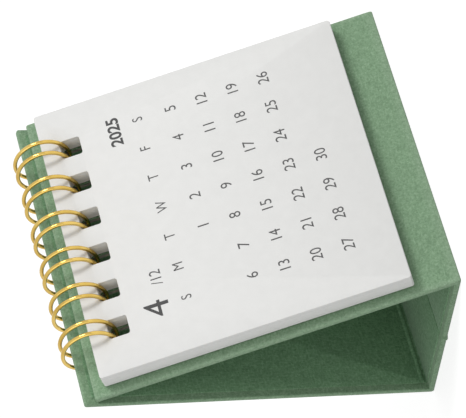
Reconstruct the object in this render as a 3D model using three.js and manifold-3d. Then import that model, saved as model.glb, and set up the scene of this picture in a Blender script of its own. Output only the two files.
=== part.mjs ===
// Small desk calendar: a folding easel of four cloth-covered boards, a twin-loop wire
// through the tops of its front and back boards, and thirteen loose leaves on that wire.
// Millimetres, +X to the reader's right, +Y to the rear, +Z up, standing on its base.

import * as THREE from 'three';
import { mergeVertices } from 'three/addons/utils/BufferGeometryUtils.js';
import Module from 'manifold-3d';

// Boards of the easel
const boardWidth = 65;
const boardLength = 69.7;
const baseHalfDepth = 17.4;
const greyboardThickness = 0.7;
const clothThickness = 0.2;
const liningThickness = 0.2;
const glueLine = 0.05;
const boardCorner = 0.8;
const edgeRounding = 0.3;

// Folds, measured from the fold's axis along each board
const clothSetback = 0.2;
const greyboardSetback = 1;
const creaseHalfWidth = 0.9;
const creaseLiningGap = 0.15;
const foldClearance = 0.15;

// How the two tops stand against each other
const rearTopProud = 2.1;
const topGap = 0.25;

// Leaves
const leafCount = 13;
const leafWidth = 61.5;
const leafHeight = 60.5;
const leafThickness = 0.25;
const leafSpacing = 0.025;
const leafCorner = 1.6;
const leafTopMargin = 2.3;
const leafToBoard = 0.3;

// Punched holes
const holeSize = 4.1;
const holeCorner = 0.5;
const leafHoleMargin = 3.6;
const rearHoleMargin = 5.5;

// Twin-loop wire
const loopCount = 6;
const loopPitch = 8.467;
const wireDiameter = 0.9;
const ringOuterDiameter = 12.7;
const strandSpacing = 2.7;
const ringDrop = 2;
const ringProud = 0.3;
const tipApexAngle = -33;
const tipBendAngle = 15;
const rootApexAngle = -38;
const rootBendAngle = 16;
const loopSteps = 24;
const bendSteps = 7;
const wireSides = 6;

// Straight steps in each round corner
const cornerSteps = 3;
const leafCornerSteps = 4;
const holeCornerSteps = 1;

// Worked-out sizes
const panelThickness = clothThickness + glueLine + greyboardThickness + glueLine + liningThickness;
const greyboardInner = liningThickness + glueLine;
const clothInner = panelThickness - clothThickness;
const baseDepth = 2 * baseHalfDepth;
const contactHeight = boardLength - rearTopProud;
const leafStep = leafThickness + leafSpacing;
const ringRadius = (ringOuterDiameter - wireDiameter) / 2;
const frontHoleMargin = leafTopMargin + leafHoleMargin;

// The angle opposite one side of a triangle
function cornerAngle(opposite, sideA, sideB) {
  return Math.acos((sideA ** 2 + sideB ** 2 - opposite ** 2) / (2 * sideA * sideB));
}

const frontLean = cornerAngle(contactHeight, boardLength, baseDepth);
const rearLean = cornerAngle(boardLength, contactHeight, baseDepth) + Math.asin(topGap / contactHeight);

const frontAlong = new THREE.Vector3(0, Math.cos(frontLean), Math.sin(frontLean));
const frontOutward = new THREE.Vector3(0, -Math.sin(frontLean), Math.cos(frontLean));
const rearAlong = new THREE.Vector3(0, -Math.cos(rearLean), Math.sin(rearLean));
const rearOutward = new THREE.Vector3(0, Math.sin(rearLean), Math.cos(rearLean));
const rearward = new THREE.Vector3(0, 1, 0);
const forward = new THREE.Vector3(0, -1, 0);
const down = new THREE.Vector3(0, 0, -1);

// The lowest front edge of the leaves reaches further forward than the front fold
const leafFoot = boardLength - leafTopMargin - leafHeight;
const leafFace = panelThickness + leafToBoard + leafCount * leafStep - leafSpacing;
const reachForward = leafFace * Math.sin(frontLean) - leafFoot * Math.cos(frontLean);
const reachBack = baseDepth + panelThickness;
const frontFoldY = (reachForward - reachBack) / 2;

const frontFold = new THREE.Vector3(0, frontFoldY, panelThickness);
const centreCrease = new THREE.Vector3(0, frontFoldY + baseHalfDepth, panelThickness);
const rearFold = new THREE.Vector3(0, frontFoldY + baseDepth, panelThickness);

// Colours
const clothColour = 0x7f9c7a;
const liningColour = 0x6d8a69;
const greyboardColour = 0x8f8a80;
const paperColour = 0xe6e6e3;
const goldColour = 0xc9962f;

function clothMaterial() {
  return new THREE.MeshStandardMaterial({ color: clothColour, roughness: 0.9, metalness: 0 });
}

function liningMaterial() {
  return new THREE.MeshStandardMaterial({ color: liningColour, roughness: 0.9, metalness: 0 });
}

function greyboardMaterial() {
  return new THREE.MeshStandardMaterial({ color: greyboardColour, roughness: 0.95, metalness: 0 });
}

function paperMaterial() {
  return new THREE.MeshStandardMaterial({ color: paperColour, roughness: 0.85, metalness: 0 });
}

function goldMaterial() {
  return new THREE.MeshStandardMaterial({ color: goldColour, roughness: 0.3, metalness: 0.9 });
}

const wasm = await Module();
wasm.setup();

// A closed three.js geometry as a solid for cutting
function solidOf(geometry) {
  const bare = geometry.index ? geometry.toNonIndexed() : geometry.clone();
  bare.deleteAttribute('normal');
  bare.deleteAttribute('uv');
  const merged = mergeVertices(bare, 1e-5);
  return new wasm.Manifold(new wasm.Mesh({
    numProp: 3,
    vertProperties: new Float32Array(merged.attributes.position.array),
    triVerts: new Uint32Array(merged.index.array),
  }));
}

// The solid after cutting, as a three.js geometry
function geometryOf(solid) {
  const cut = solid.getMesh();
  const geometry = new THREE.BufferGeometry();
  const corners = new Float32Array(cut.numVert * 3);
  for (let i = 0; i < cut.numVert; i += 1) {
    for (let axis = 0; axis < 3; axis += 1) {
      corners[i * 3 + axis] = cut.vertProperties[i * cut.numProp + axis];
    }
  }
  geometry.setAttribute('position', new THREE.BufferAttribute(corners, 3));
  geometry.setIndex(new THREE.BufferAttribute(new Uint32Array(cut.triVerts), 1));
  return geometry;
}

// The outline of a rectangle with round corners, each corner in a few straight steps
function roundedOutline(left, bottom, right, top, radius, steps) {
  const centres = [
    [right - radius, bottom + radius],
    [right - radius, top - radius],
    [left + radius, top - radius],
    [left + radius, bottom + radius],
  ];
  const points = [];
  centres.forEach(([x, y], corner) => {
    for (let step = 0; step <= steps; step += 1) {
      const angle = (corner - 1 + step / steps) * (Math.PI / 2);
      points.push(new THREE.Vector2(x + radius * Math.cos(angle), y + radius * Math.sin(angle)));
    }
  });
  return points;
}

function boxBetween(x0, y0, z0, x1, y1, z1) {
  const box = new THREE.BoxGeometry(x1 - x0, y1 - y0, z1 - z0);
  box.translate((x0 + x1) / 2, (y0 + y1) / 2, (z0 + z1) / 2);
  return box;
}

function plate(shape, z0, z1) {
  const geometry = new THREE.ExtrudeGeometry(shape, { depth: z1 - z0, bevelEnabled: false });
  geometry.translate(0, 0, z0);
  return geometry;
}

function loopCentre(index) {
  return (index - (loopCount - 1) / 2) * loopPitch;
}

// The row of punched holes, whose upper edge lies at holeTop on the board
function punchedHoles(holeTop) {
  const holes = [];
  for (let i = 0; i < loopCount; i += 1) {
    const x = loopCentre(i);
    const half = holeSize / 2;
    holes.push(roundedOutline(x - half, holeTop - holeSize, x + half, holeTop, holeCorner, holeCornerSteps));
  }
  return holes;
}

function holeCutter(holeTop) {
  let cutter = null;
  for (const hole of punchedHoles(holeTop)) {
    const pin = solidOf(plate(new THREE.Shape(hole), -1, panelThickness + 1));
    cutter = cutter ? cutter.add(pin) : pin;
  }
  return cutter;
}

// A panel lies with its inner face on z = 0, its outer face at z = panelThickness and its
// fold axis on y = 0. farEnd is the length from the axis, and a closed end is wrapped in cloth.
function clothCover(farEnd, endIsWrapped, holeTop) {
  const half = boardWidth / 2;
  const overlap = 2;
  const outlineEnd = endIsWrapped ? farEnd : farEnd + overlap;
  const outline = roundedOutline(-half, -overlap, half, outlineEnd, boardCorner, cornerSteps);
  const wrapped = new THREE.ExtrudeGeometry(new THREE.Shape(outline), {
    depth: 2 * panelThickness - 2 * edgeRounding,
    bevelThickness: edgeRounding,
    bevelSize: edgeRounding,
    bevelOffset: -edgeRounding,
    bevelSegments: 2,
  });
  wrapped.translate(0, 0, edgeRounding - panelThickness);
  const kept = boxBetween(-boardWidth, clothSetback, 0, boardWidth, farEnd, panelThickness + 1);
  const pocketEnd = endIsWrapped ? farEnd - clothThickness : farEnd + overlap;
  const pocketSide = half - clothThickness;
  const pocket = boxBetween(-pocketSide, -overlap, -1, pocketSide, pocketEnd, clothInner);
  let cover = solidOf(wrapped).intersect(solidOf(kept)).subtract(solidOf(pocket));
  if (holeTop) {
    cover = cover.subtract(holeCutter(holeTop));
  }
  return geometryOf(cover);
}

function sheet(outline, z0, z1, holeTop) {
  const shape = new THREE.Shape(outline);
  if (holeTop) {
    shape.holes = punchedHoles(holeTop).map((hole) => new THREE.Path(hole));
  }
  return plate(shape, z0, z1);
}

function innerSheet(y0, y1, z0, z1, holeTop) {
  const half = boardWidth / 2 - clothThickness - glueLine;
  const corner = boardCorner - clothThickness;
  return sheet(roundedOutline(-half, y0, half, y1, corner, cornerSteps), z0, z1, holeTop);
}

function greyboard(y1, holeTop) {
  return innerSheet(greyboardSetback, y1, greyboardInner, greyboardInner + greyboardThickness, holeTop);
}

function lining(y1, holeTop) {
  return innerSheet(clothSetback, y1, 0, liningThickness, holeTop);
}

// The cloth that rounds a fold, from one board's outward direction to the next one's
function foldCloth(startAngle, endAngle) {
  const trim = foldClearance / panelThickness;
  const inner = panelThickness - clothThickness;
  const section = new THREE.Shape();
  section.absarc(0, 0, panelThickness, startAngle + trim, endAngle - trim, false);
  section.absarc(0, 0, inner, endAngle - trim, startAngle + trim, true);
  const strip = new THREE.ExtrudeGeometry(section, { depth: boardWidth, bevelEnabled: false, curveSegments: 8 });
  strip.translate(0, 0, -boardWidth / 2);
  const acrossTheFold = new THREE.Matrix4().makeBasis(
    new THREE.Vector3(0, 1, 0),
    new THREE.Vector3(0, 0, 1),
    new THREE.Vector3(1, 0, 0),
  );
  return strip.applyMatrix4(acrossTheFold);
}

function creaseCloth() {
  const half = creaseHalfWidth - foldClearance;
  const side = boardWidth / 2;
  return boxBetween(-side, -half, -panelThickness, side, half, clothThickness - panelThickness);
}

function leaf(index) {
  const top = boardLength - leafTopMargin;
  const half = leafWidth / 2;
  const outline = roundedOutline(-half, top - leafHeight, half, top, leafCorner, leafCornerSteps);
  const under = panelThickness + leafToBoard + (leafCount - 1 - index) * leafStep;
  return sheet(outline, under, under + leafThickness, boardLength - frontHoleMargin);
}

// A point on the ring's cylinder in the front board's own frame. The angle is 0 straight
// below the ring's centre along the board and grows forward, over the top and down the back.
function onRing(x, degrees) {
  const angle = THREE.MathUtils.degToRad(degrees);
  const centreY = boardLength - ringDrop;
  const centreZ = panelThickness + ringProud;
  const y = centreY - ringRadius * Math.cos(angle);
  const z = centreZ + ringRadius * Math.sin(angle);
  return new THREE.Vector3(x, y, z);
}

// The wire's centre line: for each pair of loops one strand comes forward over the top from
// the root, turns at the closed tip inside the easel and goes back, and a wider root bend
// leads on to the next pair.
function wireCentreLine() {
  const points = [];
  const half = strandSpacing / 2;
  const rootHalf = (loopPitch - strandSpacing) / 2;
  const tipLegAngle = tipApexAngle + tipBendAngle;
  const rootLegAngle = rootApexAngle - rootBendAngle + 360;
  for (let i = 0; i < loopCount; i += 1) {
    const x = loopCentre(i);
    for (let step = 0; step <= loopSteps; step += 1) {
      const share = step / loopSteps;
      points.push(onRing(x - half, THREE.MathUtils.lerp(rootLegAngle, tipLegAngle, share)));
    }
    for (let step = 1; step < bendSteps; step += 1) {
      const turn = (step / bendSteps) * Math.PI;
      points.push(onRing(x - half * Math.cos(turn), tipLegAngle - tipBendAngle * Math.sin(turn)));
    }
    for (let step = 0; step <= loopSteps; step += 1) {
      const share = step / loopSteps;
      points.push(onRing(x + half, THREE.MathUtils.lerp(tipLegAngle, rootLegAngle, share)));
    }
    if (i < loopCount - 1) {
      for (let step = 1; step < bendSteps; step += 1) {
        const turn = (step / bendSteps) * Math.PI;
        const across = half + rootHalf * (1 - Math.cos(turn));
        points.push(onRing(x + across, rootLegAngle + rootBendAngle * Math.sin(turn)));
      }
    }
  }
  return points;
}

// One closed tube along a line of points, its section carried on without twist
function tubeAlong(points, radius, sides) {
  const positions = [];
  const indices = [];
  const tangents = points.map((point, i) => {
    const before = points[Math.max(i - 1, 0)];
    const after = points[Math.min(i + 1, points.length - 1)];
    return after.clone().sub(before).normalize();
  });
  const across = new THREE.Vector3(1, 0, 0).cross(tangents[0]).normalize();
  points.forEach((point, i) => {
    across.addScaledVector(tangents[i], -across.dot(tangents[i])).normalize();
    const third = tangents[i].clone().cross(across);
    for (let side = 0; side < sides; side += 1) {
      const angle = (side / sides) * 2 * Math.PI;
      const corner = point.clone();
      corner.addScaledVector(across, radius * Math.cos(angle));
      corner.addScaledVector(third, radius * Math.sin(angle));
      positions.push(corner.x, corner.y, corner.z);
    }
  });
  for (let ring = 0; ring < points.length - 1; ring += 1) {
    for (let side = 0; side < sides; side += 1) {
      const a = ring * sides + side;
      const b = ring * sides + ((side + 1) % sides);
      indices.push(a, b, b + sides, a, b + sides, a + sides);
    }
  }
  const lastRing = (points.length - 1) * sides;
  for (let side = 1; side < sides - 1; side += 1) {
    indices.push(0, side + 1, side);
    indices.push(lastRing, lastRing + side, lastRing + side + 1);
  }
  const geometry = new THREE.BufferGeometry();
  geometry.setAttribute('position', new THREE.Float32BufferAttribute(positions, 3));
  geometry.setIndex(indices);
  return geometry;
}

// The least free space between stretches of the wire that lie apart along it
function leastGap(points, diameter) {
  const along = [0];
  for (let i = 1; i < points.length; i += 1) {
    along.push(along[i - 1] + points[i].distanceTo(points[i - 1]));
  }
  const apart = 4 * diameter;
  let least = Infinity;
  for (let i = 0; i < points.length; i += 1) {
    for (let j = i + 1; j < points.length; j += 1) {
      if (along[j] - along[i] > apart) {
        least = Math.min(least, points[i].distanceTo(points[j]) - diameter);
      }
    }
  }
  return least;
}

function addMesh(group, name, geometry, material) {
  const mesh = new THREE.Mesh(geometry, material);
  mesh.name = name;
  group.add(mesh);
}

// A group whose y runs along a board from its fold and whose z points out of the easel
function boardFrame(origin, along, outward) {
  const group = new THREE.Group();
  const side = along.clone().cross(outward);
  group.quaternion.setFromRotationMatrix(new THREE.Matrix4().makeBasis(side, along, outward));
  group.position.copy(origin);
  return group;
}

function addWall(group, prefix, holeMargin) {
  const holeTop = boardLength - holeMargin;
  const inside = boardLength - clothThickness - glueLine;
  addMesh(group, `${prefix}_greyboard`, greyboard(inside, holeTop), greyboardMaterial());
  addMesh(group, `${prefix}_cover_cloth`, clothCover(boardLength, true, holeTop), clothMaterial());
  addMesh(group, `${prefix}_lining`, lining(inside, holeTop), liningMaterial());
}

function addBaseHalf(group, prefix) {
  const clothEnd = baseHalfDepth - creaseHalfWidth;
  addMesh(group, `${prefix}_greyboard`, greyboard(clothEnd), greyboardMaterial());
  addMesh(group, `${prefix}_cover_cloth`, clothCover(clothEnd, false), clothMaterial());
  addMesh(group, `${prefix}_lining`, lining(baseHalfDepth - creaseLiningGap), liningMaterial());
}

function addFoldCloth(group, name, axis, startAngle, endAngle) {
  const holder = new THREE.Group();
  holder.position.copy(axis);
  addMesh(holder, name, foldCloth(startAngle, endAngle), clothMaterial());
  group.add(holder);
}

function calendar() {
  const easel = new THREE.Group();

  const front = boardFrame(frontFold, frontAlong, frontOutward);
  addWall(front, 'front', frontHoleMargin);
  const centreLine = wireCentreLine();
  const wire = tubeAlong(centreLine, wireDiameter / 2, wireSides);
  addMesh(front, 'binding_wire', wire, goldMaterial());
  for (let i = 0; i < leafCount; i += 1) {
    addMesh(front, `leaf_${String(i + 1).padStart(2, '0')}`, leaf(i), paperMaterial());
  }
  easel.add(front);
  console.log(`least gap between turns of the wire ${leastGap(centreLine, wireDiameter).toFixed(2)} mm`);

  const baseFront = boardFrame(frontFold, rearward, down);
  addBaseHalf(baseFront, 'base_front');
  easel.add(baseFront);

  const baseRear = boardFrame(rearFold, forward, down);
  addBaseHalf(baseRear, 'base_rear');
  easel.add(baseRear);

  const back = boardFrame(rearFold, rearAlong, rearOutward);
  addWall(back, 'back', rearHoleMargin);
  easel.add(back);

  const quarter = Math.PI / 2;
  addFoldCloth(easel, 'front_fold_cloth', frontFold, frontLean + quarter, 3 * quarter);
  addFoldCloth(easel, 'rear_fold_cloth', rearFold, -quarter, quarter - rearLean);
  const crease = new THREE.Group();
  crease.position.copy(centreCrease);
  addMesh(crease, 'centre_crease_cloth', creaseCloth(), clothMaterial());
  easel.add(crease);

  return easel;
}

const group = calendar();

export default group;
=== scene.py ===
import calendar
import math
import random

import bmesh
import bpy
from mathutils import Matrix, Vector
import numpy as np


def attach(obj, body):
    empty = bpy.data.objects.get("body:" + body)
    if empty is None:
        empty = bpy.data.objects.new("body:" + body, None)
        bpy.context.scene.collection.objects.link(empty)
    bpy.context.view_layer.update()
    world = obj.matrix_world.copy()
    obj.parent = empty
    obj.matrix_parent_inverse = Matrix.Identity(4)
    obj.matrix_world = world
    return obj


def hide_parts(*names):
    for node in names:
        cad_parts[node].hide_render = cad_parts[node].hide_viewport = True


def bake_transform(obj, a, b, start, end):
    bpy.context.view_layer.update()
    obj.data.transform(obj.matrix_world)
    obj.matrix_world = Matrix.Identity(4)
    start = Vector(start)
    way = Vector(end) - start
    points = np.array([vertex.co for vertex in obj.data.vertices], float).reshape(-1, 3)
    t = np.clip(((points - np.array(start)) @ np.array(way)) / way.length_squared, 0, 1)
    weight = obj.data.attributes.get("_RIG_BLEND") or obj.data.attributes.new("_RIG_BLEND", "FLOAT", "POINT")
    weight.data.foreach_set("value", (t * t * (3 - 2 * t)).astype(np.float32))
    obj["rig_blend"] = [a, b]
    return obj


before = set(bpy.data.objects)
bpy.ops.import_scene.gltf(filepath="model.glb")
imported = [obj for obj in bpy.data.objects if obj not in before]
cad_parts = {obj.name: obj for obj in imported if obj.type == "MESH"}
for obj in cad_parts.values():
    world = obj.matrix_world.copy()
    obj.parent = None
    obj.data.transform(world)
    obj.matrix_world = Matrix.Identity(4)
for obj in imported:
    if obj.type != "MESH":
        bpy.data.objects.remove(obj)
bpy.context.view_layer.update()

# Sizes in millimetres and angles in degrees; a board's place turns its millimetres into metres
MM = 0.001
BOARD_WIDTH = 65.0
BOARD_LENGTH = 69.7
BASE_HALF_DEPTH = 17.4
PANEL_THICKNESS = 1.2
BOARD_CORNER = 0.45
BOARD_CORNER_STEPS = 6
REAR_TOP_PROUD = 2.1
TOP_GAP = 0.25

# Cloth round each board
CLOTH_THICKNESS = 0.2
CUT_ALLOWANCE = 8.0
OUTER_ROUNDING = 0.32
OUTER_STEPS = 5
INNER_ROUNDING = 0.25
INNER_STEPS = 3
FLAP_FACE = 0.08
FLAP_WIDTH = 6.5
RIM_BAND = 0.9
RIM_BAND_CORNER = 0.2
RIM_BAND_STEPS = 2
# Width of the outer rim band on which a paler highlight is painted
HIGHLIGHT_RIM_WIDTH = 0.63

# Folds and crease
FOLD_JOINT = 0.6
FOLD_OVERRUN = 3.0
FOLD_ROUNDING = 0.4
FOLD_STEPS = 4
CREASE_HALF_WIDTH = 0.9
CREASE_STEPS = 12
CREASE_PRESS = 0.06
CREASE_SCORE = 0.07
CREASE_EAR = 0.45
CREASE_SMALL_EAR = 0.18

# Lining on each inner face
LINING_TOP = 0.12
LINING_MARGIN = 1.5
LINING_CORNER = 0.4
LINING_CORNER_STEPS = 4
LINING_ROUNDING = 0.05
LINING_STEPS = 2
LINING_CREASE_GAP = 0.2

# Lining over the folds and the crease, as distance from the fold and height over a board's inner face
STRIP_PROUD = 0.012
STRIP_TUCK = 0.06
FOLD_LINING_CORNER = 0.14
CREASE_LINING_REACH = 1.5
PLAIN_ARM = ((0.3, 0.02), (0.75, STRIP_PROUD), (1.3, -STRIP_TUCK))
RIDGED_ARM = ((0.3, 0.02), (0.5, 0.16), (0.68, 0.27), (0.86, 0.3), (1.04, 0.25), (1.22, 0.12), (1.4, 0.01),
              (1.8, -STRIP_TUCK))

# Leaves
LEAF_COUNT = 13
LEAF_WIDTH = 61.5
LEAF_HEIGHT = 60.5
LEAF_THICKNESS = 0.25
LEAF_STEP = 0.275
LEAF_CORNER = 0.5
LEAF_CORNER_STEPS = 5
LEAF_TOP_MARGIN = 2.3
LEAF_TO_BOARD = 0.3
LEAF_EDGE = 0.05
LEAF_EDGE_STEPS = 2
LEAF_SHIFT = 0.07
LEAF_LAG = 0.018
SHUFFLE_SEED = 7

# Punched holes
HOLE_SIZE = 4.1
HOLE_CORNER = 0.5
HOLE_CORNER_STEPS = 4
FRONT_HOLE_MARGIN = 5.9
REAR_HOLE_MARGIN = 5.5

# Twin-loop wire
LOOP_COUNT = 6
LOOP_PITCH = 8.467
WIRE_DIAMETER = 0.82
WIRE_SIDE_STEPS = 5
RING_RADIUS = 5.75
STRAND_SPACING = 2.7
RING_DROP = 2.1
RING_PROUD = 0.98
SEAM_FLAT = 0.74
SEAM_MIDDLE = 8.0
SEAM_REACH = 85.0
REAR_SWELL = 0.38
REAR_MIDDLE = 212.0
REAR_REACH = 60.0
TIP_APEX_ANGLE = -33.0
TIP_BEND_ANGLE = 15.0
ROOT_APEX_ANGLE = -38.0
ROOT_BEND_ANGLE = 16.0
LOOP_STEPS = 72
BEND_STEPS = 16

# Print on the leaves
PRINT_LIFT = 0.012
GLYPH_STEPS = 5
FIRST_COLUMN = -19.6
COLUMN_PITCH = 7.02
FIRST_ROW = 41.2
ROW_PITCH = 6.26
DAY_HEIGHT = 2.2
DAY_NARROWNESS = 0.92
INITIAL_ROW = 47.9
INITIAL_HEIGHT = 2.0
INITIAL_NARROWNESS = 0.85
MONTH_PLACE = (-20.1, 53.8)
MONTH_HEIGHT = 4.8
MONTH_NARROWNESS = 1.15
OF_TWELVE_PLACE = (-13.4, 52.5)
OF_TWELVE_HEIGHT = 2.2
OF_TWELVE_NARROWNESS = 0.85
YEAR_PLACE = (21.3, 52.8)
YEAR_HEIGHT = 2.5
YEAR_NARROWNESS = 1.02
YEAR_BOLDNESS = 0.026
FIRST_MONTH = 4
FIRST_YEAR = 2025

# Edges that bend by more than this stay sharp; a lining strip and the wire bend further in one step
SHARP_ANGLE = 32
STRIP_SHARP_ANGLE = 50
WIRE_SHARP_ANGLE = 50

# Tolerances: two points within JOINED are one, a point within NEAR or HAIR of a line lies on it,
# and a face whose normal reaches FLAT_NORMAL along z is flat
JOINED = 1e-5
NEAR = 1e-4
HAIR = 0.01
FLAT_NORMAL = 0.9


def corner_angle(opposite, side_a, side_b):
    """The angle opposite one side of a triangle"""
    return math.acos((side_a ** 2 + side_b ** 2 - opposite ** 2) / (2 * side_a * side_b))


contact_height = BOARD_LENGTH - REAR_TOP_PROUD
base_depth = 2 * BASE_HALF_DEPTH
front_lean = corner_angle(contact_height, BOARD_LENGTH, base_depth)
rear_lean = corner_angle(BOARD_LENGTH, contact_height, base_depth) + math.asin(TOP_GAP / contact_height)
leaf_face = PANEL_THICKNESS + LEAF_TO_BOARD + LEAF_COUNT * LEAF_STEP - (LEAF_STEP - LEAF_THICKNESS)
leaf_foot = BOARD_LENGTH - LEAF_TOP_MARGIN - LEAF_HEIGHT
reach_forward = leaf_face * math.sin(front_lean) - leaf_foot * math.cos(front_lean)
front_fold_y = (reach_forward - base_depth - PANEL_THICKNESS) / 2

front_fold = Vector((0, front_fold_y, PANEL_THICKNESS))
rear_fold = Vector((0, front_fold_y + base_depth, PANEL_THICKNESS))
front_along = Vector((0, math.cos(front_lean), math.sin(front_lean)))
front_outward = Vector((0, -math.sin(front_lean), math.cos(front_lean)))
rear_along = Vector((0, -math.cos(rear_lean), math.sin(rear_lean)))
rear_outward = Vector((0, math.sin(rear_lean), math.cos(rear_lean)))
rearward = Vector((0, 1, 0))
forward = Vector((0, -1, 0))
down = Vector((0, 0, -1))


def board_place(fold_point, along, outward):
    """The place of a board whose y runs from its fold and whose z points out of the easel"""
    side = along.cross(outward)
    turn = Matrix((side, along, outward)).transposed().to_4x4()
    return Matrix.Scale(MM, 4) @ Matrix.Translation(fold_point) @ turn


FRONT = board_place(front_fold, front_along, front_outward)
BASE_FRONT = board_place(front_fold, rearward, down)
BASE_REAR = board_place(rear_fold, forward, down)
BACK = board_place(rear_fold, rear_along, rear_outward)


# Finishes: tones from the darkest to the palest, and a weft's stretch, smaller where its streaks are longer
COVER_TONES = ((0.15, 0.255, 0.147), (0.217, 0.347, 0.212), (0.305, 0.45, 0.295))
# A paler tone painted along the outer rim as a highlight
COVER_RIM_HIGHLIGHT = (0.42, 0.54, 0.4)
COVER_WEFT_STRETCH = 0.5
LINING_TONES = ((0.11, 0.225, 0.115), (0.183, 0.335, 0.187), (0.275, 0.465, 0.28))
LINING_WEFT_STRETCH = 0.14
CLOTH_PATCHES = ((0.95, 0.95, 0.95), (1.04, 1.04, 1.04))
CARD_TONES = ((0.79, 0.79, 0.775), (0.815, 0.815, 0.8))
GREYBOARD_TONES = ((0.2, 0.185, 0.165), (0.4, 0.375, 0.34))
GOLD_TONES = ((0.56, 0.37, 0.08), (0.73, 0.52, 0.15))
THIN_INK_SHADE = 0.085
BOLD_INK_SHADE = 0.06
INK_SPREAD = (0.85, 1.2)


# Node helpers

def new_material(name):
    """A material with its nodes, its links and its shader"""
    material = bpy.data.materials.new(name)
    material.use_nodes = True
    nodes = material.node_tree.nodes
    return material, nodes, material.node_tree.links, nodes["Principled BSDF"]


def object_noise(nodes, links, scale, detail, roughness=0.5, stretch=(1, 1, 1)):
    """A noise on Object coordinates, drawn out along one way where stretch is small"""
    coordinates = nodes.new("ShaderNodeTexCoord")
    mapping = nodes.new("ShaderNodeMapping")
    mapping.inputs["Scale"].default_value = stretch
    noise = nodes.new("ShaderNodeTexNoise")
    noise.inputs["Scale"].default_value = scale
    noise.inputs["Detail"].default_value = detail
    noise.inputs["Roughness"].default_value = roughness
    links.new(coordinates.outputs["Object"], mapping.inputs["Vector"])
    links.new(mapping.outputs["Vector"], noise.inputs["Vector"])
    return noise.outputs["Fac"]


def combine(nodes, links, operation, first, second):
    """One step of arithmetic on numbers or on other nodes' values"""
    node = nodes.new("ShaderNodeMath")
    node.operation = operation
    for socket, value in zip(node.inputs, (first, second)):
        if isinstance(value, (int, float)):
            socket.default_value = value
        else:
            links.new(value, socket)
    return node.outputs["Value"]


def colour_ramp(nodes, links, value, positions, tones):
    """The tones that the value runs through, each at its own position"""
    ramp = nodes.new("ShaderNodeValToRGB")
    elements = ramp.color_ramp.elements
    elements[0].position = positions[0]
    elements[1].position = positions[-1]
    for position in positions[1:-1]:
        elements.new(position)
    for element, tone in zip(elements, tones):
        element.color = (*tone, 1)
    links.new(value, ramp.inputs["Fac"])
    return ramp.outputs["Color"]


def mix_colours(nodes, links, factor, first, second, blend="MIX"):
    """Two colours mixed, or multiplied, by a factor"""
    mix = nodes.new("ShaderNodeMix")
    mix.data_type = "RGBA"
    mix.blend_type = blend
    sockets = [s for s in mix.inputs if s.enabled]
    for socket, value in zip(sockets, (factor, first, second)):
        if isinstance(value, (int, float)):
            socket.default_value = value
        elif isinstance(value, tuple):
            socket.default_value = (*value, 1)
        else:
            links.new(value, socket)
    return next(s for s in mix.outputs if s.enabled)


def vary_roughness(nodes, links, shader, value, low, high):
    """Lets the roughness run from low to high with the value"""
    spread = nodes.new("ShaderNodeMapRange")
    spread.inputs["To Min"].default_value = low
    spread.inputs["To Max"].default_value = high
    links.new(value, spread.inputs["Value"])
    links.new(spread.outputs["Result"], shader.inputs["Roughness"])


def add_bump(nodes, links, shader, height, strength, distance):
    """Raises the surface with a height, by a distance in metres"""
    bump = nodes.new("ShaderNodeBump")
    bump.inputs["Strength"].default_value = strength
    bump.inputs["Distance"].default_value = distance
    links.new(height, bump.inputs["Height"])
    links.new(bump.outputs["Normal"], shader.inputs["Normal"])


# Materials

def book_cloth(name, tones, weft_stretch, painted_highlight=None):
    """Mottled book cloth: fine speckle, an uneven weave and broad patches, with a paler highlight painted
    along its outer rim
    """
    material, nodes, links, shader = new_material(name)
    clouds = object_noise(nodes, links, scale=2300, detail=4, roughness=0.68)
    broad = object_noise(nodes, links, scale=240, detail=3)
    warp = object_noise(nodes, links, scale=4200, detail=2, roughness=0.6, stretch=(0.2, 1, 1))
    weft = object_noise(nodes, links, scale=4200, detail=2, roughness=0.6,
                        stretch=(1, weft_stretch, weft_stretch))
    fibres = combine(nodes, links, "MAXIMUM", warp, weft)
    clouds_share = combine(nodes, links, "MULTIPLY", clouds, 0.55)
    fibres_share = combine(nodes, links, "MULTIPLY", fibres, 0.45)
    tone = combine(nodes, links, "ADD", clouds_share, fibres_share)
    mottled = colour_ramp(nodes, links, tone, (0.38, 0.52, 0.66), tones)
    patches = colour_ramp(nodes, links, broad, (0.3, 0.7), CLOTH_PATCHES)
    cloth = mix_colours(nodes, links, 1.0, mottled, patches, "MULTIPLY")
    # A paler tone painted along the marked outer rim as a highlight, broken by the speckle
    if painted_highlight:
        highlight_rim = nodes.new("ShaderNodeAttribute")
        highlight_rim.attribute_name = "highlight_rim"
        highlight_share = combine(nodes, links, "MULTIPLY", highlight_rim.outputs["Fac"], clouds)
        highlight_share = combine(nodes, links, "MULTIPLY", highlight_share, 0.4)
        cloth = mix_colours(nodes, links, highlight_share, cloth, painted_highlight)
    links.new(cloth, shader.inputs["Base Color"])
    vary_roughness(nodes, links, shader, fibres, low=0.74, high=0.95)
    shader.inputs["Sheen Weight"].default_value = 0.12
    shader.inputs["Sheen Roughness"].default_value = 0.5
    shader.inputs["Specular IOR Level"].default_value = 0.25
    add_bump(nodes, links, shader, tone, strength=0.55, distance=0.00009)
    return material


def white_card(name):
    """Smooth uncoated card with a faint cloudy formation and fine tooth"""
    material, nodes, links, shader = new_material(name)
    formation = object_noise(nodes, links, scale=420, detail=4, roughness=0.55)
    tooth = object_noise(nodes, links, scale=5200, detail=3, roughness=0.6)
    card = colour_ramp(nodes, links, formation, (0.3, 0.7), CARD_TONES)
    links.new(card, shader.inputs["Base Color"])
    vary_roughness(nodes, links, shader, tooth, low=0.62, high=0.82)
    shader.inputs["Specular IOR Level"].default_value = 0.3
    add_bump(nodes, links, shader, tooth, strength=0.25, distance=0.00002)
    return material


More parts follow.
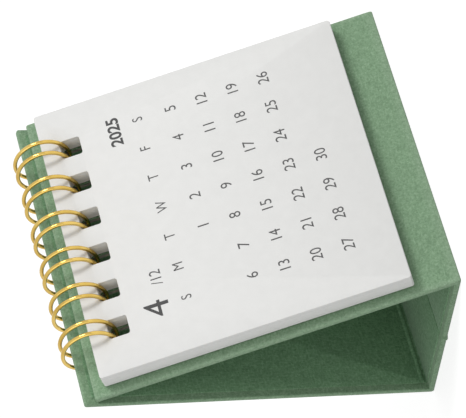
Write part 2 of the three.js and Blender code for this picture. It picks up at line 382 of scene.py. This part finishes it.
def grey_board(name):
    """Recycled bookbinder's board with darker and paler flecks"""
    material, nodes, links, shader = new_material(name)
    flecks = object_noise(nodes, links, scale=1700, detail=5, roughness=0.7, stretch=(1, 1, 0.5))
    layers = object_noise(nodes, links, scale=600, detail=3)
    tone = combine(nodes, links, "MULTIPLY", flecks, layers)
    board = colour_ramp(nodes, links, tone, (0.14, 0.34), GREYBOARD_TONES)
    links.new(board, shader.inputs["Base Color"])
    shader.inputs["Roughness"].default_value = 0.92
    add_bump(nodes, links, shader, flecks, strength=0.5, distance=0.00008)
    return material


def gold_lacquer(name):
    """Bright lacquered wire, its gloss broken by fine drawing marks"""
    material, nodes, links, shader = new_material(name)
    marks = object_noise(nodes, links, scale=3800, detail=3, roughness=0.6, stretch=(1, 0.3, 0.3))
    tint = object_noise(nodes, links, scale=260, detail=2)
    gold = colour_ramp(nodes, links, tint, (0.3, 0.7), GOLD_TONES)
    links.new(gold, shader.inputs["Base Color"])
    shader.inputs["Metallic"].default_value = 1.0
    vary_roughness(nodes, links, shader, marks, low=0.1, high=0.17)
    add_bump(nodes, links, shader, marks, strength=0.03, distance=0.000004)
    return material


def print_ink(name, shade):
    """Matt printed ink, a little uneven where it soaks in"""
    material, nodes, links, shader = new_material(name)
    soak = object_noise(nodes, links, scale=3000, detail=3, roughness=0.6)
    tones = [(shade * share,) * 3 for share in INK_SPREAD]
    links.new(colour_ramp(nodes, links, soak, (0.3, 0.7), tones), shader.inputs["Base Color"])
    shader.inputs["Roughness"].default_value = 0.7
    return material


cover_cloth = book_cloth("sage_cover_cloth", COVER_TONES, COVER_WEFT_STRETCH, COVER_RIM_HIGHLIGHT)
inner_lining = book_cloth("sage_lining", LINING_TONES, LINING_WEFT_STRETCH)
leaf_card = white_card("white_leaf_card")
core_board = grey_board("grey_core_board")
gold_wire = gold_lacquer("gold_wire_lacquer")
thin_ink = print_ink("thin_print_ink", THIN_INK_SHADE)
bold_ink = print_ink("bold_print_ink", BOLD_INK_SHADE)


# Shaping helpers, in a board's own millimetres

def everything(bm):
    """Every vertex, edge and face of a shape"""
    return bm.verts[:] + bm.edges[:] + bm.faces[:]


def of_kind(geom, kind):
    """The vertices, the edges or the faces among what an operator gives back"""
    return [g for g in geom if isinstance(g, kind)]


def flat_face(bm, left, near, right, far, z, corner=0, steps=1):
    """A flat rectangle, its corners rounded where a corner is given"""
    before = set(bm.faces)
    made = bmesh.ops.create_grid(bm, x_segments=1, y_segments=1, size=0.5)
    bmesh.ops.scale(bm, vec=(right - left, far - near, 1), verts=made["verts"])
    bmesh.ops.translate(bm, vec=((left + right) / 2, (near + far) / 2, z), verts=made["verts"])
    if corner:
        bmesh.ops.bevel(bm, geom=made["verts"], offset=corner, offset_type="OFFSET", segments=steps,
                        profile=0.5, affect="VERTICES", material=-1)
    faces = [f for f in bm.faces if f not in before]
    return max(faces, key=lambda f: f.calc_area())


def open_loop(bm, face):
    """The face's edges, left as an open loop"""
    edges = list(face.edges)
    bmesh.ops.delete(bm, geom=[face], context="FACES_ONLY")
    return edges


def fill_between(bm, edges, upward):
    """Fills flat loops, each inner loop left as an opening"""
    made = bmesh.ops.triangle_fill(bm, use_beauty=True, use_dissolve=False, edges=edges,
                                   normal=(0, 0, 1 if upward else -1))
    return of_kind(made["geom"], bmesh.types.BMFace)


def round_rim(bm, faces, radius, steps):
    """Rounds the rim of a flat region by insets that climb along its normals"""
    for step in range(steps):
        start = step / steps * math.pi / 2
        end = (step + 1) / steps * math.pi / 2
        inward = radius * (math.cos(start) - math.cos(end))
        climb = radius * (math.sin(end) - math.sin(start))
        bmesh.ops.inset_region(bm, faces=faces, thickness=inward, depth=climb, use_boundary=True,
                               use_even_offset=True)


def loop_middle(index):
    """Where one pair of loops and its hole stand along the row"""
    return (index - (LOOP_COUNT - 1) / 2) * LOOP_PITCH


def hole_loops(bm, hole_top, z):
    """The row of punched holes, whose upper edge lies at hole_top"""
    edges = []
    half = HOLE_SIZE / 2
    for index in range(LOOP_COUNT):
        x = loop_middle(index)
        face = flat_face(bm, x - half, hole_top - HOLE_SIZE, x + half, hole_top, z, HOLE_CORNER,
                         HOLE_CORNER_STEPS)
        edges += open_loop(bm, face)
    return edges


def punched_plate(side, near, far, corner, steps, hole_top, thickness):
    """A flat plate with round corners, and with the row of holes where hole_top is given"""
    bm = bmesh.new()
    loops = open_loop(bm, flat_face(bm, -side, near, side, far, 0, corner, steps))
    if hole_top:
        loops += hole_loops(bm, hole_top, 0)
    faces = fill_between(bm, loops, True)
    raised = bmesh.ops.extrude_face_region(bm, geom=faces, use_keep_orig=True)["geom"]
    bmesh.ops.translate(bm, vec=(0, 0, thickness), verts=of_kind(raised, bmesh.types.BMVert))
    bmesh.ops.recalc_face_normals(bm, faces=bm.faces)
    return bm


def mark_rim(bm, end):
    """Marks the outer rim, where a paler highlight is painted on the cloth; the flaps inside stay dark"""
    highlight_rim = bm.verts.layers.float.new("highlight_rim")
    half = BOARD_WIDTH / 2
    for vert in bm.verts:
        inward = min(half - abs(vert.co.x), end - vert.co.y)
        painted_highlight = inward < HIGHLIGHT_RIM_WIDTH and vert.co.z > PANEL_THICKNESS / 2
        vert[highlight_rim] = 1.0 if painted_highlight else 0.0


def wrapped_board(far_end, wrapped_end, hole_top=None):
    """The cloth round a board: outer face, round sides and the flaps turned in over its inner face"""
    bm = bmesh.new()
    half = BOARD_WIDTH / 2
    end = far_end if wrapped_end else far_end + CUT_ALLOWANCE
    low = FLAP_FACE + INNER_ROUNDING
    high = PANEL_THICKNESS - OUTER_ROUNDING
    inner = flat_face(bm, -half, -CUT_ALLOWANCE, half, end, low, BOARD_CORNER, BOARD_CORNER_STEPS)
    raised = bmesh.ops.extrude_face_region(bm, geom=[inner], use_keep_orig=True)["geom"]
    outer = of_kind(raised, bmesh.types.BMFace)[0]
    bmesh.ops.translate(bm, vec=(0, 0, high - low), verts=list(outer.verts))
    bmesh.ops.recalc_face_normals(bm, faces=bm.faces)
    round_rim(bm, [outer], OUTER_ROUNDING, OUTER_STEPS)
    round_rim(bm, [inner], INNER_ROUNDING, INNER_STEPS)

    outer_loop = open_loop(bm, outer)
    band = RIM_BAND + OUTER_ROUNDING
    band_face = flat_face(bm, -half + band, -CUT_ALLOWANCE + band, half - band, end - band,
                          PANEL_THICKNESS, RIM_BAND_CORNER, RIM_BAND_STEPS)
    band_loop = open_loop(bm, band_face)
    fill_between(bm, outer_loop + band_loop, True)
    holes = hole_loops(bm, hole_top, PANEL_THICKNESS) if hole_top else []
    fill_between(bm, band_loop + holes, True)

    inner_loop = open_loop(bm, inner)
    flap_face = flat_face(bm, -half + FLAP_WIDTH, -CUT_ALLOWANCE / 2, half - FLAP_WIDTH,
                          end - FLAP_WIDTH, FLAP_FACE)
    fill_between(bm, inner_loop + open_loop(bm, flap_face), False)
    mark_rim(bm, end)
    return bm


def cut_at(bm, y, keep_beyond):
    """Cuts off what lies before y, or beyond it"""
    bmesh.ops.bisect_plane(bm, geom=everything(bm), dist=JOINED, plane_co=(0, y, 0), plane_no=(0, 1, 0),
                           clear_inner=keep_beyond, clear_outer=not keep_beyond)


def thicken(bm, thickness):
    """Gives an open shell its wall, on the inner side"""
    bmesh.ops.remove_doubles(bm, verts=bm.verts, dist=JOINED)
    bmesh.ops.recalc_face_normals(bm, faces=bm.faces)
    bmesh.ops.solidify(bm, geom=bm.faces[:], thickness=thickness)


def make_piece(name, bm, place, material, sharp_angle=SHARP_ANGLE):
    """Puts the shape in its place and makes it an object"""
    bmesh.ops.transform(bm, matrix=place, verts=bm.verts)
    mesh = bpy.data.meshes.new(name)
    bm.to_mesh(mesh)
    bm.free()
    mesh.polygons.foreach_set("use_smooth", [True] * len(mesh.polygons))
    mesh.set_sharp_from_angle(angle=math.radians(sharp_angle))
    mesh.materials.append(material)
    piece = bpy.data.objects.new(name, mesh)
    bpy.context.scene.collection.objects.link(piece)
    return piece


def settle(piece, body, slot, *nodes):
    """Lets the piece ride on its body in place of the solids that it stands for"""
    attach(piece, body)
    if nodes:
        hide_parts(*nodes)


# Boards: covers, linings and greyboards

def board_cover(board, place, cloth_end, hole_top):
    """One board's cloth; a punched board is wrapped at its far end, a base board is cut at the crease"""
    punched = hole_top is not None
    bm = wrapped_board(cloth_end, punched, hole_top)
    cut_at(bm, FOLD_JOINT, True)
    if not punched:
        cut_at(bm, cloth_end, False)
    thicken(bm, CLOTH_THICKNESS)
    piece = make_piece(f"{board}_cover", bm, place, cover_cloth)
    settle(piece, f"{board}_panel", "cover_cloth", f"{board}_cover_cloth")


def board_lining(board, place, lining_end, hole_top):
    """The lining glued over one board's inner face, its edge a little round"""
    side = BOARD_WIDTH / 2 - LINING_MARGIN
    bm = punched_plate(side, FOLD_JOINT, lining_end, LINING_CORNER, LINING_CORNER_STEPS, hole_top,
                       LINING_TOP)
    seen = [f for f in bm.faces if f.normal.z < -FLAT_NORMAL]
    round_rim(bm, seen, LINING_ROUNDING, LINING_STEPS)
    piece = make_piece(f"{board}_inner_lining", bm, place, inner_lining)
    settle(piece, f"{board}_panel", "lining", f"{board}_lining")


front_hole_top = BOARD_LENGTH - FRONT_HOLE_MARGIN
rear_hole_top = BOARD_LENGTH - REAR_HOLE_MARGIN
wall_lining_end = BOARD_LENGTH - LINING_MARGIN
base_cloth_end = BASE_HALF_DEPTH - CREASE_HALF_WIDTH
base_lining_end = BASE_HALF_DEPTH - LINING_CREASE_GAP

boards = (
    ("front", FRONT, BOARD_LENGTH, wall_lining_end, front_hole_top),
    ("back", BACK, BOARD_LENGTH, wall_lining_end, rear_hole_top),
    ("base_front", BASE_FRONT, base_cloth_end, base_lining_end, None),
    ("base_rear", BASE_REAR, base_cloth_end, base_lining_end, None),
)
for board_name, board_matrix, board_cloth_end, _, board_hole_top in boards:
    board_cover(board_name, board_matrix, board_cloth_end, board_hole_top)
for board_name, board_matrix, _, board_lining_end, board_hole_top in boards:
    board_lining(board_name, board_matrix, board_lining_end, board_hole_top)
    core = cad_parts[f"{board_name}_greyboard"]
    core.data.materials.clear()
    core.data.materials.append(core_board)


# Cloth round the folds

def board_section(y):
    """The line that the cloth follows round a board, cut across it and moved to y"""
    bm = wrapped_board(BOARD_LENGTH, True)
    middle = BOARD_LENGTH / 3
    cut_at(bm, middle, True)
    line = [e for e in bm.edges if all(abs(v.co.y - middle) < NEAR for v in e.verts)]
    kept = {v for e in line for v in e.verts}
    bmesh.ops.delete(bm, geom=bm.faces[:], context="FACES_ONLY")
    bmesh.ops.delete(bm, geom=[v for v in bm.verts if v not in kept], context="VERTS")
    bmesh.ops.translate(bm, vec=(0, y - middle, 0), verts=bm.verts)
    return bm


def draw_on(bm, edges, step):
    """Draws a line of edges on by one step, and gives the new line"""
    drawn = bmesh.ops.extrude_edge_only(bm, edges=edges)["geom"]
    bmesh.ops.translate(bm, vec=step, verts=of_kind(drawn, bmesh.types.BMVert))
    return of_kind(drawn, bmesh.types.BMEdge)


def across_fold(piece, bodies, place, fold_angle):
    """Lets a piece bend with the two boards that meet at a fold"""
    first = Vector((0, FOLD_JOINT, 0))
    second = Vector((0, FOLD_JOINT * math.cos(fold_angle), -FOLD_JOINT * math.sin(fold_angle)))
    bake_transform(piece, bodies[0], bodies[1], start=place @ first, end=place @ second)


def outer_bend(bm, mitre):
    """The edges along a fold's outer side, where the two boards' cloth meets on the mitre plane"""
    lowest = PANEL_THICKNESS - OUTER_ROUNDING - HAIR
    shared = [e for e in bm.edges if len(e.link_faces) == 2]
    on_mitre = [e for e in shared if all(abs(v.co.dot(mitre)) < NEAR for v in e.verts)]
    return [e for e in on_mitre if min(v.co.z for v in e.verts) > lowest]


def fold_wrap(name, place, fold_angle, bodies, node):
    """The cloth drawn past a board's end, mitred there, mirrored on to the next board and rounded off"""
    bm = board_section(FOLD_JOINT)
    draw_on(bm, bm.edges[:], (0, -FOLD_JOINT - FOLD_OVERRUN, 0))
    mitre = Vector((0, math.sin(fold_angle / 2), math.cos(fold_angle / 2)))
    bmesh.ops.bisect_plane(bm, geom=everything(bm), dist=JOINED, plane_co=(0, 0, 0), plane_no=mitre,
                           clear_inner=True)
    twin = bmesh.ops.duplicate(bm, geom=everything(bm))["geom"]
    bmesh.ops.transform(bm, matrix=Matrix.Scale(-1, 4, mitre), verts=of_kind(twin, bmesh.types.BMVert))
    bmesh.ops.reverse_faces(bm, faces=of_kind(twin, bmesh.types.BMFace))
    bmesh.ops.remove_doubles(bm, verts=bm.verts, dist=NEAR)
    bend = outer_bend(bm, mitre)
    thicken(bm, CLOTH_THICKNESS)
    rounded = bmesh.ops.bevel(bm, geom=bend, offset=FOLD_ROUNDING, offset_type="OFFSET",
                              segments=FOLD_STEPS, profile=0.5, affect="EDGES", material=-1)
    # The rounded bend takes the painted rim highlight as well
    highlight_rim = bm.verts.layers.float["highlight_rim"]
    for vert in rounded["verts"]:
        vert[highlight_rim] = 1.0
    piece = make_piece(name, bm, place, cover_cloth)
    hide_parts(node)
    across_fold(piece, bodies, place, fold_angle)


front_fold_bodies = ("front_panel", "base_front_panel")
rear_fold_bodies = ("base_rear_panel", "back_panel")
fold_wrap("front_fold_wrap", FRONT, front_lean, front_fold_bodies, "front_fold_cloth")
fold_wrap("rear_fold_wrap", BASE_REAR, rear_lean, rear_fold_bodies, "rear_fold_cloth")


# Crease across the base

def crease_depth(y):
    """How far the crease is pressed in, from 0 beside it to 1 along its middle"""
    return math.cos(min(1, abs(y) / CREASE_HALF_WIDTH) * math.pi / 2) ** 2


def bend_at_crease(piece):
    """Lets a piece bend with the base's two boards"""
    start = BASE_FRONT @ Vector((0, BASE_HALF_DEPTH - CREASE_HALF_WIDTH, 0))
    end = BASE_FRONT @ Vector((0, BASE_HALF_DEPTH + CREASE_HALF_WIDTH, 0))
    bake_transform(piece, "base_front_panel", "base_rear_panel", start=start, end=end)


def crease_wrap():
    """The cloth between the base's two boards, pressed into the gap and puckered at its ends"""
    bm = board_section(-CREASE_HALF_WIDTH)
    line = bm.edges[:]
    for _ in range(CREASE_STEPS):
        line = draw_on(bm, line, (0, 2 * CREASE_HALF_WIDTH / CREASE_STEPS, 0))
    ear_start = BOARD_WIDTH / 2 - INNER_ROUNDING - HAIR
    for vert in bm.verts:
        depth = crease_depth(vert.co.y)
        if abs(vert.co.x) > ear_start:
            ear = CREASE_EAR if vert.co.x > 0 else CREASE_SMALL_EAR
            vert.co.x += math.copysign(ear * depth, vert.co.x)
        under = (PANEL_THICKNESS - vert.co.z) * (1 - CREASE_PRESS * depth)
        vert.co.z = PANEL_THICKNESS - under
        if under < HAIR:
            vert.co.z -= CREASE_SCORE * depth ** 2
    thicken(bm, CLOTH_THICKNESS)
    bmesh.ops.translate(bm, vec=(0, BASE_HALF_DEPTH, 0), verts=bm.verts)
    piece = make_piece("crease_cloth_wrap", bm, BASE_FRONT, cover_cloth)
    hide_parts("centre_crease_cloth")
    bend_at_crease(piece)


crease_wrap()


# Lining carried over the folds and the crease

def lining_strip(name, profile, place):
    """A strip of lining drawn along the easel's width from the line of its seen face"""
    bm = bmesh.new()
    side = BOARD_WIDTH / 2 - LINING_MARGIN
    line = [bm.verts.new((-side, y, z)) for y, z in profile]
    for first, second in zip(line, line[1:]):
        bm.edges.new((first, second))
    draw_on(bm, bm.edges[:], (2 * side, 0, 0))
    bmesh.ops.recalc_face_normals(bm, faces=bm.faces)
    if sum(f.normal.z for f in bm.faces) > 0:
        bmesh.ops.reverse_faces(bm, faces=bm.faces)
    bmesh.ops.solidify(bm, geom=bm.faces[:], thickness=LINING_TOP)
    return make_piece(name, bm, place, inner_lining, STRIP_SHARP_ANGLE)


def fold_profile(second_arm, fold_angle):
    """The line from the first board's inner face through the fold's corner to the second board's"""
    along = (math.cos(fold_angle), -math.sin(fold_angle))
    inward = (math.sin(fold_angle), math.cos(fold_angle))
    middle = (math.cos(fold_angle / 2), -math.sin(fold_angle / 2))
    points = [(away, -height) for away, height in reversed(PLAIN_ARM)]
    points.append((FOLD_LINING_CORNER * middle[0], FOLD_LINING_CORNER * middle[1]))
    points += [(away * along[0] + height * inward[0], away * along[1] + height * inward[1])
               for away, height in second_arm]
    return points


def fold_lining(name, place, fold_angle, bodies, second_arm):
    """The lining carried over one fold, bending with its two boards"""
    piece = lining_strip(name, fold_profile(second_arm, fold_angle), place)
    across_fold(piece, bodies, place, fold_angle)


def crease_profile():
    """The line of the lining across the crease, tucked in behind the two boards' linings"""
    line = [(BASE_HALF_DEPTH - CREASE_LINING_REACH, STRIP_TUCK)]
    for step in range(CREASE_STEPS + 1):
        y = CREASE_HALF_WIDTH * (2 * step / CREASE_STEPS - 1)
        pressed = CREASE_PRESS * PANEL_THICKNESS * crease_depth(y)
        line.append((BASE_HALF_DEPTH + y, pressed - STRIP_PROUD))
    line.append((BASE_HALF_DEPTH + CREASE_LINING_REACH, STRIP_TUCK))
    return line


fold_lining("front_fold_lining", FRONT, front_lean, front_fold_bodies, PLAIN_ARM)
fold_lining("rear_fold_lining", BASE_REAR, rear_lean, rear_fold_bodies, RIDGED_ARM)
bend_at_crease(lining_strip("crease_lining", crease_profile(), BASE_FRONT))


# Wire

def curve_mesh(curve):
    """The mesh of a curve or a text, which is removed"""
    drawn = bpy.data.objects.new(curve.name, curve)
    bpy.context.scene.collection.objects.link(drawn)
    bpy.context.view_layer.update()
    mesh = bpy.data.meshes.new_from_object(drawn.evaluated_get(bpy.context.evaluated_depsgraph_get()))
    bpy.data.objects.remove(drawn)
    bpy.data.curves.remove(curve)
    return mesh


def soft_share(degrees, middle, reach):
    """1 at the middle angle, falling softly to 0 at its reach to either side"""
    away = abs((degrees - middle + 180) % 360 - 180) / reach
    return math.cos(min(1, away) * math.pi / 2) ** 2


def on_ring(x, degrees):
    """A point on the loops, counted from below their centre forward: flatter at the seam, fuller behind"""
    angle = math.radians(degrees)
    radius = RING_RADIUS - SEAM_FLAT * soft_share(degrees, SEAM_MIDDLE, SEAM_REACH)
    radius += REAR_SWELL * soft_share(degrees, REAR_MIDDLE, REAR_REACH)
    y = BOARD_LENGTH - RING_DROP - radius * math.cos(angle)
    z = PANEL_THICKNESS + RING_PROUD + radius * math.sin(angle)
    return Vector((x, y, z))


def strand(x, start, end):
    """One strand round the ring, from one angle to another"""
    return [on_ring(x, start + (end - start) * (step / LOOP_STEPS)) for step in range(LOOP_STEPS + 1)]


def turn_back(x, half, leg, reach):
    """A bend between two strands that stand half to either side of x and end at the leg's angle"""
    turns = [step / BEND_STEPS * math.pi for step in range(1, BEND_STEPS)]
    return [on_ring(x - half * math.cos(turn), leg + reach * math.sin(turn)) for turn in turns]


def wire_line():
    """One unbroken line through the six pairs of loops"""
    points = []
    half = STRAND_SPACING / 2
    root_half = (LOOP_PITCH - STRAND_SPACING) / 2
    tip_leg = TIP_APEX_ANGLE + TIP_BEND_ANGLE
    root_leg = ROOT_APEX_ANGLE - ROOT_BEND_ANGLE + 360
    for index in range(LOOP_COUNT):
        x = loop_middle(index)
        points += strand(x - half, root_leg, tip_leg)
        points += turn_back(x, half, tip_leg, -TIP_BEND_ANGLE)
        points += strand(x + half, tip_leg, root_leg)
        if index < LOOP_COUNT - 1:
            points += turn_back(x + LOOP_PITCH / 2, root_half, root_leg, ROOT_BEND_ANGLE)
    return [FRONT @ point for point in points]


def wire_loops():
    """The wire's round section drawn along its line"""
    curve = bpy.data.curves.new("wire_line", "CURVE")
    curve.dimensions = "3D"
    curve.bevel_depth = WIRE_DIAMETER / 2 * MM
    curve.bevel_resolution = WIRE_SIDE_STEPS
    curve.use_fill_caps = True
    spline = curve.splines.new("POLY")
    line = wire_line()
    spline.points.add(len(line) - 1)
    for point, place in zip(spline.points, line):
        point.co = (*place, 1)
    mesh = curve_mesh(curve)
    bm = bmesh.new()
    bm.from_mesh(mesh)
    bpy.data.meshes.remove(mesh)
    bmesh.ops.remove_doubles(bm, verts=bm.verts, dist=NEAR * MM)
    bmesh.ops.recalc_face_normals(bm, faces=bm.faces)
    piece = make_piece("twin_loop_wire", bm, Matrix.Identity(4), gold_wire, WIRE_SHARP_ANGLE)
    settle(piece, "front_panel", "gold_wire", "binding_wire")


wire_loops()


# Leaves and their print

def leaf_name(index):
    """A leaf's name, which is also its body's"""
    return f"leaf_{index + 1:02d}"


def leaf_under(index):
    """The height of a leaf's underside over the front board's inner face"""
    return PANEL_THICKNESS + LEAF_TO_BOARD + (LEAF_COUNT - 1 - index) * LEAF_STEP


def month_leaf(index, chance):
    """A card leaf with round corners and punched holes, a hair out of line with its neighbours"""
    top = BOARD_LENGTH - LEAF_TOP_MARGIN
    bm = punched_plate(LEAF_WIDTH / 2, top - LEAF_HEIGHT, top, LEAF_CORNER, LEAF_CORNER_STEPS,
                       front_hole_top, LEAF_THICKNESS - LEAF_EDGE)
    printed = [f for f in bm.faces if f.normal.z > FLAT_NORMAL]
    round_rim(bm, printed, LEAF_EDGE, LEAF_EDGE_STEPS)
    shift = Vector((chance.uniform(-LEAF_SHIFT, LEAF_SHIFT), chance.uniform(-LEAF_SHIFT, 0), 0))
    shift.x += LEAF_LAG * index
    if index == 0:
        shift = Vector((0, 0, 0))
    bmesh.ops.translate(bm, vec=shift + Vector((0, 0, leaf_under(index))), verts=bm.verts)
    name = leaf_name(index)
    settle(make_piece(f"month_{name}", bm, FRONT, leaf_card), name, "leaf_paper", name)


glyph_meshes = {}


def glyph_mesh(text, boldness):
    """A word as a flat mesh, kept for the next leaf that needs it"""
    key = (text, boldness)
    if key not in glyph_meshes:
        curve = bpy.data.curves.new("print", "FONT")
        curve.body = text
        curve.offset = boldness
        curve.resolution_u = GLYPH_STEPS
        glyph_meshes[key] = curve_mesh(curve)
    return glyph_meshes[key]


def print_word(bm, text, x, y, height, narrowness, boldness=0):
    """Adds a printed word, centred on a point of the leaf"""
    count = len(bm.verts)
    bm.from_mesh(glyph_mesh(text, boldness))
    bm.verts.ensure_lookup_table()
    verts = bm.verts[count:]
    low = Vector((min(v.co.x for v in verts), min(v.co.y for v in verts), 0))
    high = Vector((max(v.co.x for v in verts), max(v.co.y for v in verts), 0))
    bmesh.ops.translate(bm, vec=-(low + high) / 2, verts=verts)
    size = height / (high.y - low.y)
    bmesh.ops.scale(bm, vec=(size * narrowness, size, 1), verts=verts)
    bmesh.ops.translate(bm, vec=(x, y, 0), verts=verts)


def thin_print(year, month):
    """The day numbers in seven columns, the days' initials and the share of twelve"""
    bm = bmesh.new()
    monday_first, days = calendar.monthrange(year, month)
    offset = (monday_first + 1) % 7
    for day in range(1, days + 1):
        cell = day - 1 + offset
        x = FIRST_COLUMN + cell % 7 * COLUMN_PITCH
        y = FIRST_ROW - cell // 7 * ROW_PITCH
        print_word(bm, str(day), x, y, DAY_HEIGHT, DAY_NARROWNESS)
    for column, initial in enumerate("SMTWTFS"):
        x = FIRST_COLUMN + column * COLUMN_PITCH
        print_word(bm, initial, x, INITIAL_ROW, INITIAL_HEIGHT, INITIAL_NARROWNESS)
    print_word(bm, "/12", *OF_TWELVE_PLACE, OF_TWELVE_HEIGHT, OF_TWELVE_NARROWNESS)
    return bm


def bold_print(year, month):
    """The month's and the year's numbers"""
    bm = bmesh.new()
    print_word(bm, str(month), *MONTH_PLACE, MONTH_HEIGHT, MONTH_NARROWNESS)
    print_word(bm, str(year), *YEAR_PLACE, YEAR_HEIGHT, YEAR_NARROWNESS, YEAR_BOLDNESS)
    return bm


def leaf_print(index):
    """All that is printed on one leaf, a hair over its face"""
    months_on = FIRST_MONTH - 1 + index
    month = months_on % 12 + 1
    year = FIRST_YEAR + months_on // 12
    lift = Vector((0, 0, leaf_under(index) + LEAF_THICKNESS + PRINT_LIFT))
    for kind, draw, ink in (("thin", thin_print, thin_ink), ("bold", bold_print, bold_ink)):
        bm = draw(year, month)
        bmesh.ops.translate(bm, vec=lift, verts=bm.verts)
        piece = make_piece(f"{kind}_print_{index + 1:02d}", bm, FRONT, ink)
        settle(piece, leaf_name(index), "leaf_paper")


leaf_chance = random.Random(SHUFFLE_SEED)
for leaf_index in range(LEAF_COUNT):
    month_leaf(leaf_index, leaf_chance)
    leaf_print(leaf_index)

for printed_mesh in glyph_meshes.values():
    bpy.data.meshes.remove(printed_mesh)


# Floor, light and camera; lengths of the stage are in metres
FLOOR_HALF = 3.0
FLOOR_PAINT = (0.5, 0.5, 0.5, 1)
FLOOR_GLOW = 0.7
SKY_LIGHT = 0.6
LAMP_AIM = (0, 0, 0.035)
KEY_PLACE = (0.3, -0.66, 0.52)
KEY_SIZE = 0.3
KEY_POWER = 3.1
SIDE_PLACE = (-0.9, -0.15, 0.45)
SIDE_SIZE = 1.1
SIDE_POWER = 2.0


def seen_share(nodes, links):
    """1 for what the camera sees, straight or in a gloss, and 0 for light that falls on the calendar"""
    path = nodes.new("ShaderNodeLightPath")
    seen = combine(nodes, links, "ADD", path.outputs["Is Camera Ray"], path.outputs["Is Glossy Ray"])
    return combine(nodes, links, "ADD", seen, path.outputs["Is Transmission Ray"])


def pale_floor():
    """A pale floor that looks white to the camera and keeps the calendar's soft shadow"""
    bm = bmesh.new()
    bmesh.ops.create_grid(bm, x_segments=1, y_segments=1, size=FLOOR_HALF)
    mesh = bpy.data.meshes.new("pale_floor")
    bm.to_mesh(mesh)
    bm.free()
    floor = bpy.data.objects.new("pale_floor", mesh)
    bpy.context.scene.collection.objects.link(floor)
    material, nodes, links, shader = new_material("pale_floor")
    nodes.remove(shader)
    paint = nodes.new("ShaderNodeBsdfDiffuse")
    paint.inputs["Color"].default_value = FLOOR_PAINT
    glow = nodes.new("ShaderNodeEmission")
    strength = combine(nodes, links, "MULTIPLY", seen_share(nodes, links), FLOOR_GLOW)
    links.new(strength, glow.inputs["Strength"])
    both = nodes.new("ShaderNodeAddShader")
    links.new(paint.outputs["BSDF"], both.inputs[0])
    links.new(glow.outputs["Emission"], both.inputs[1])
    links.new(both.outputs["Shader"], nodes["Material Output"].inputs["Surface"])
    mesh.materials.append(material)


def white_world():
    """A sky that lights the calendar softly and looks white to the camera"""
    world = bpy.data.worlds.new("studio")
    bpy.context.scene.world = world
    world.use_nodes = True
    nodes = world.node_tree.nodes
    links = world.node_tree.links
    background = nodes["Background"]
    background.inputs["Color"].default_value = (1, 1, 1, 1)
    added = combine(nodes, links, "MULTIPLY", seen_share(nodes, links), 1 - SKY_LIGHT)
    strength = combine(nodes, links, "ADD", added, SKY_LIGHT)
    links.new(strength, background.inputs["Strength"])


def soft_lamp(name, place, size, power):
    """A round lamp that points at the calendar"""
    lamp = bpy.data.lights.new(name, "AREA")
    lamp.shape = "DISK"
    lamp.size = size
    lamp.energy = power
    holder = bpy.data.objects.new(name, lamp)
    bpy.context.scene.collection.objects.link(holder)
    holder.location = place
    holder.rotation_euler = (Vector(LAMP_AIM) - Vector(place)).to_track_quat("-Z", "Y").to_euler()


# The camera fitted to the photo: its place in millimetres, its three directions and its lens
EYE = Vector((-366.31, -533.85, 170.59))
SIGHT = Vector((0.55678, 0.80447, -0.20693))
PICTURE_UP = Vector((0.7974, -0.58743, -0.13816))
PICTURE_RIGHT = Vector((-0.2327, -0.08808, -0.96855))
SENSOR_WIDTH = 36
FOCAL_LENGTH = 266.71
NEAREST_SEEN = 0.05
FARTHEST_SEEN = 20


def photo_camera():
    """The camera at the photo's angle"""
    lens = bpy.data.cameras.new("photo_camera")
    lens.sensor_width = SENSOR_WIDTH
    lens.sensor_fit = "HORIZONTAL"
    lens.lens = FOCAL_LENGTH
    lens.clip_start = NEAREST_SEEN
    lens.clip_end = FARTHEST_SEEN
    holder = bpy.data.objects.new("photo_camera", lens)
    bpy.context.scene.collection.objects.link(holder)
    turn = Matrix((PICTURE_RIGHT, PICTURE_UP, -SIGHT)).transposed().to_4x4()
    holder.matrix_world = Matrix.Translation(EYE * MM) @ turn
    bpy.context.scene.camera = holder


pale_floor()
white_world()
soft_lamp("key_lamp", KEY_PLACE, KEY_SIZE, KEY_POWER)
soft_lamp("side_lamp", SIDE_PLACE, SIDE_SIZE, SIDE_POWER)
photo_camera()
bpy.context.scene.view_settings.view_transform = "Standard"
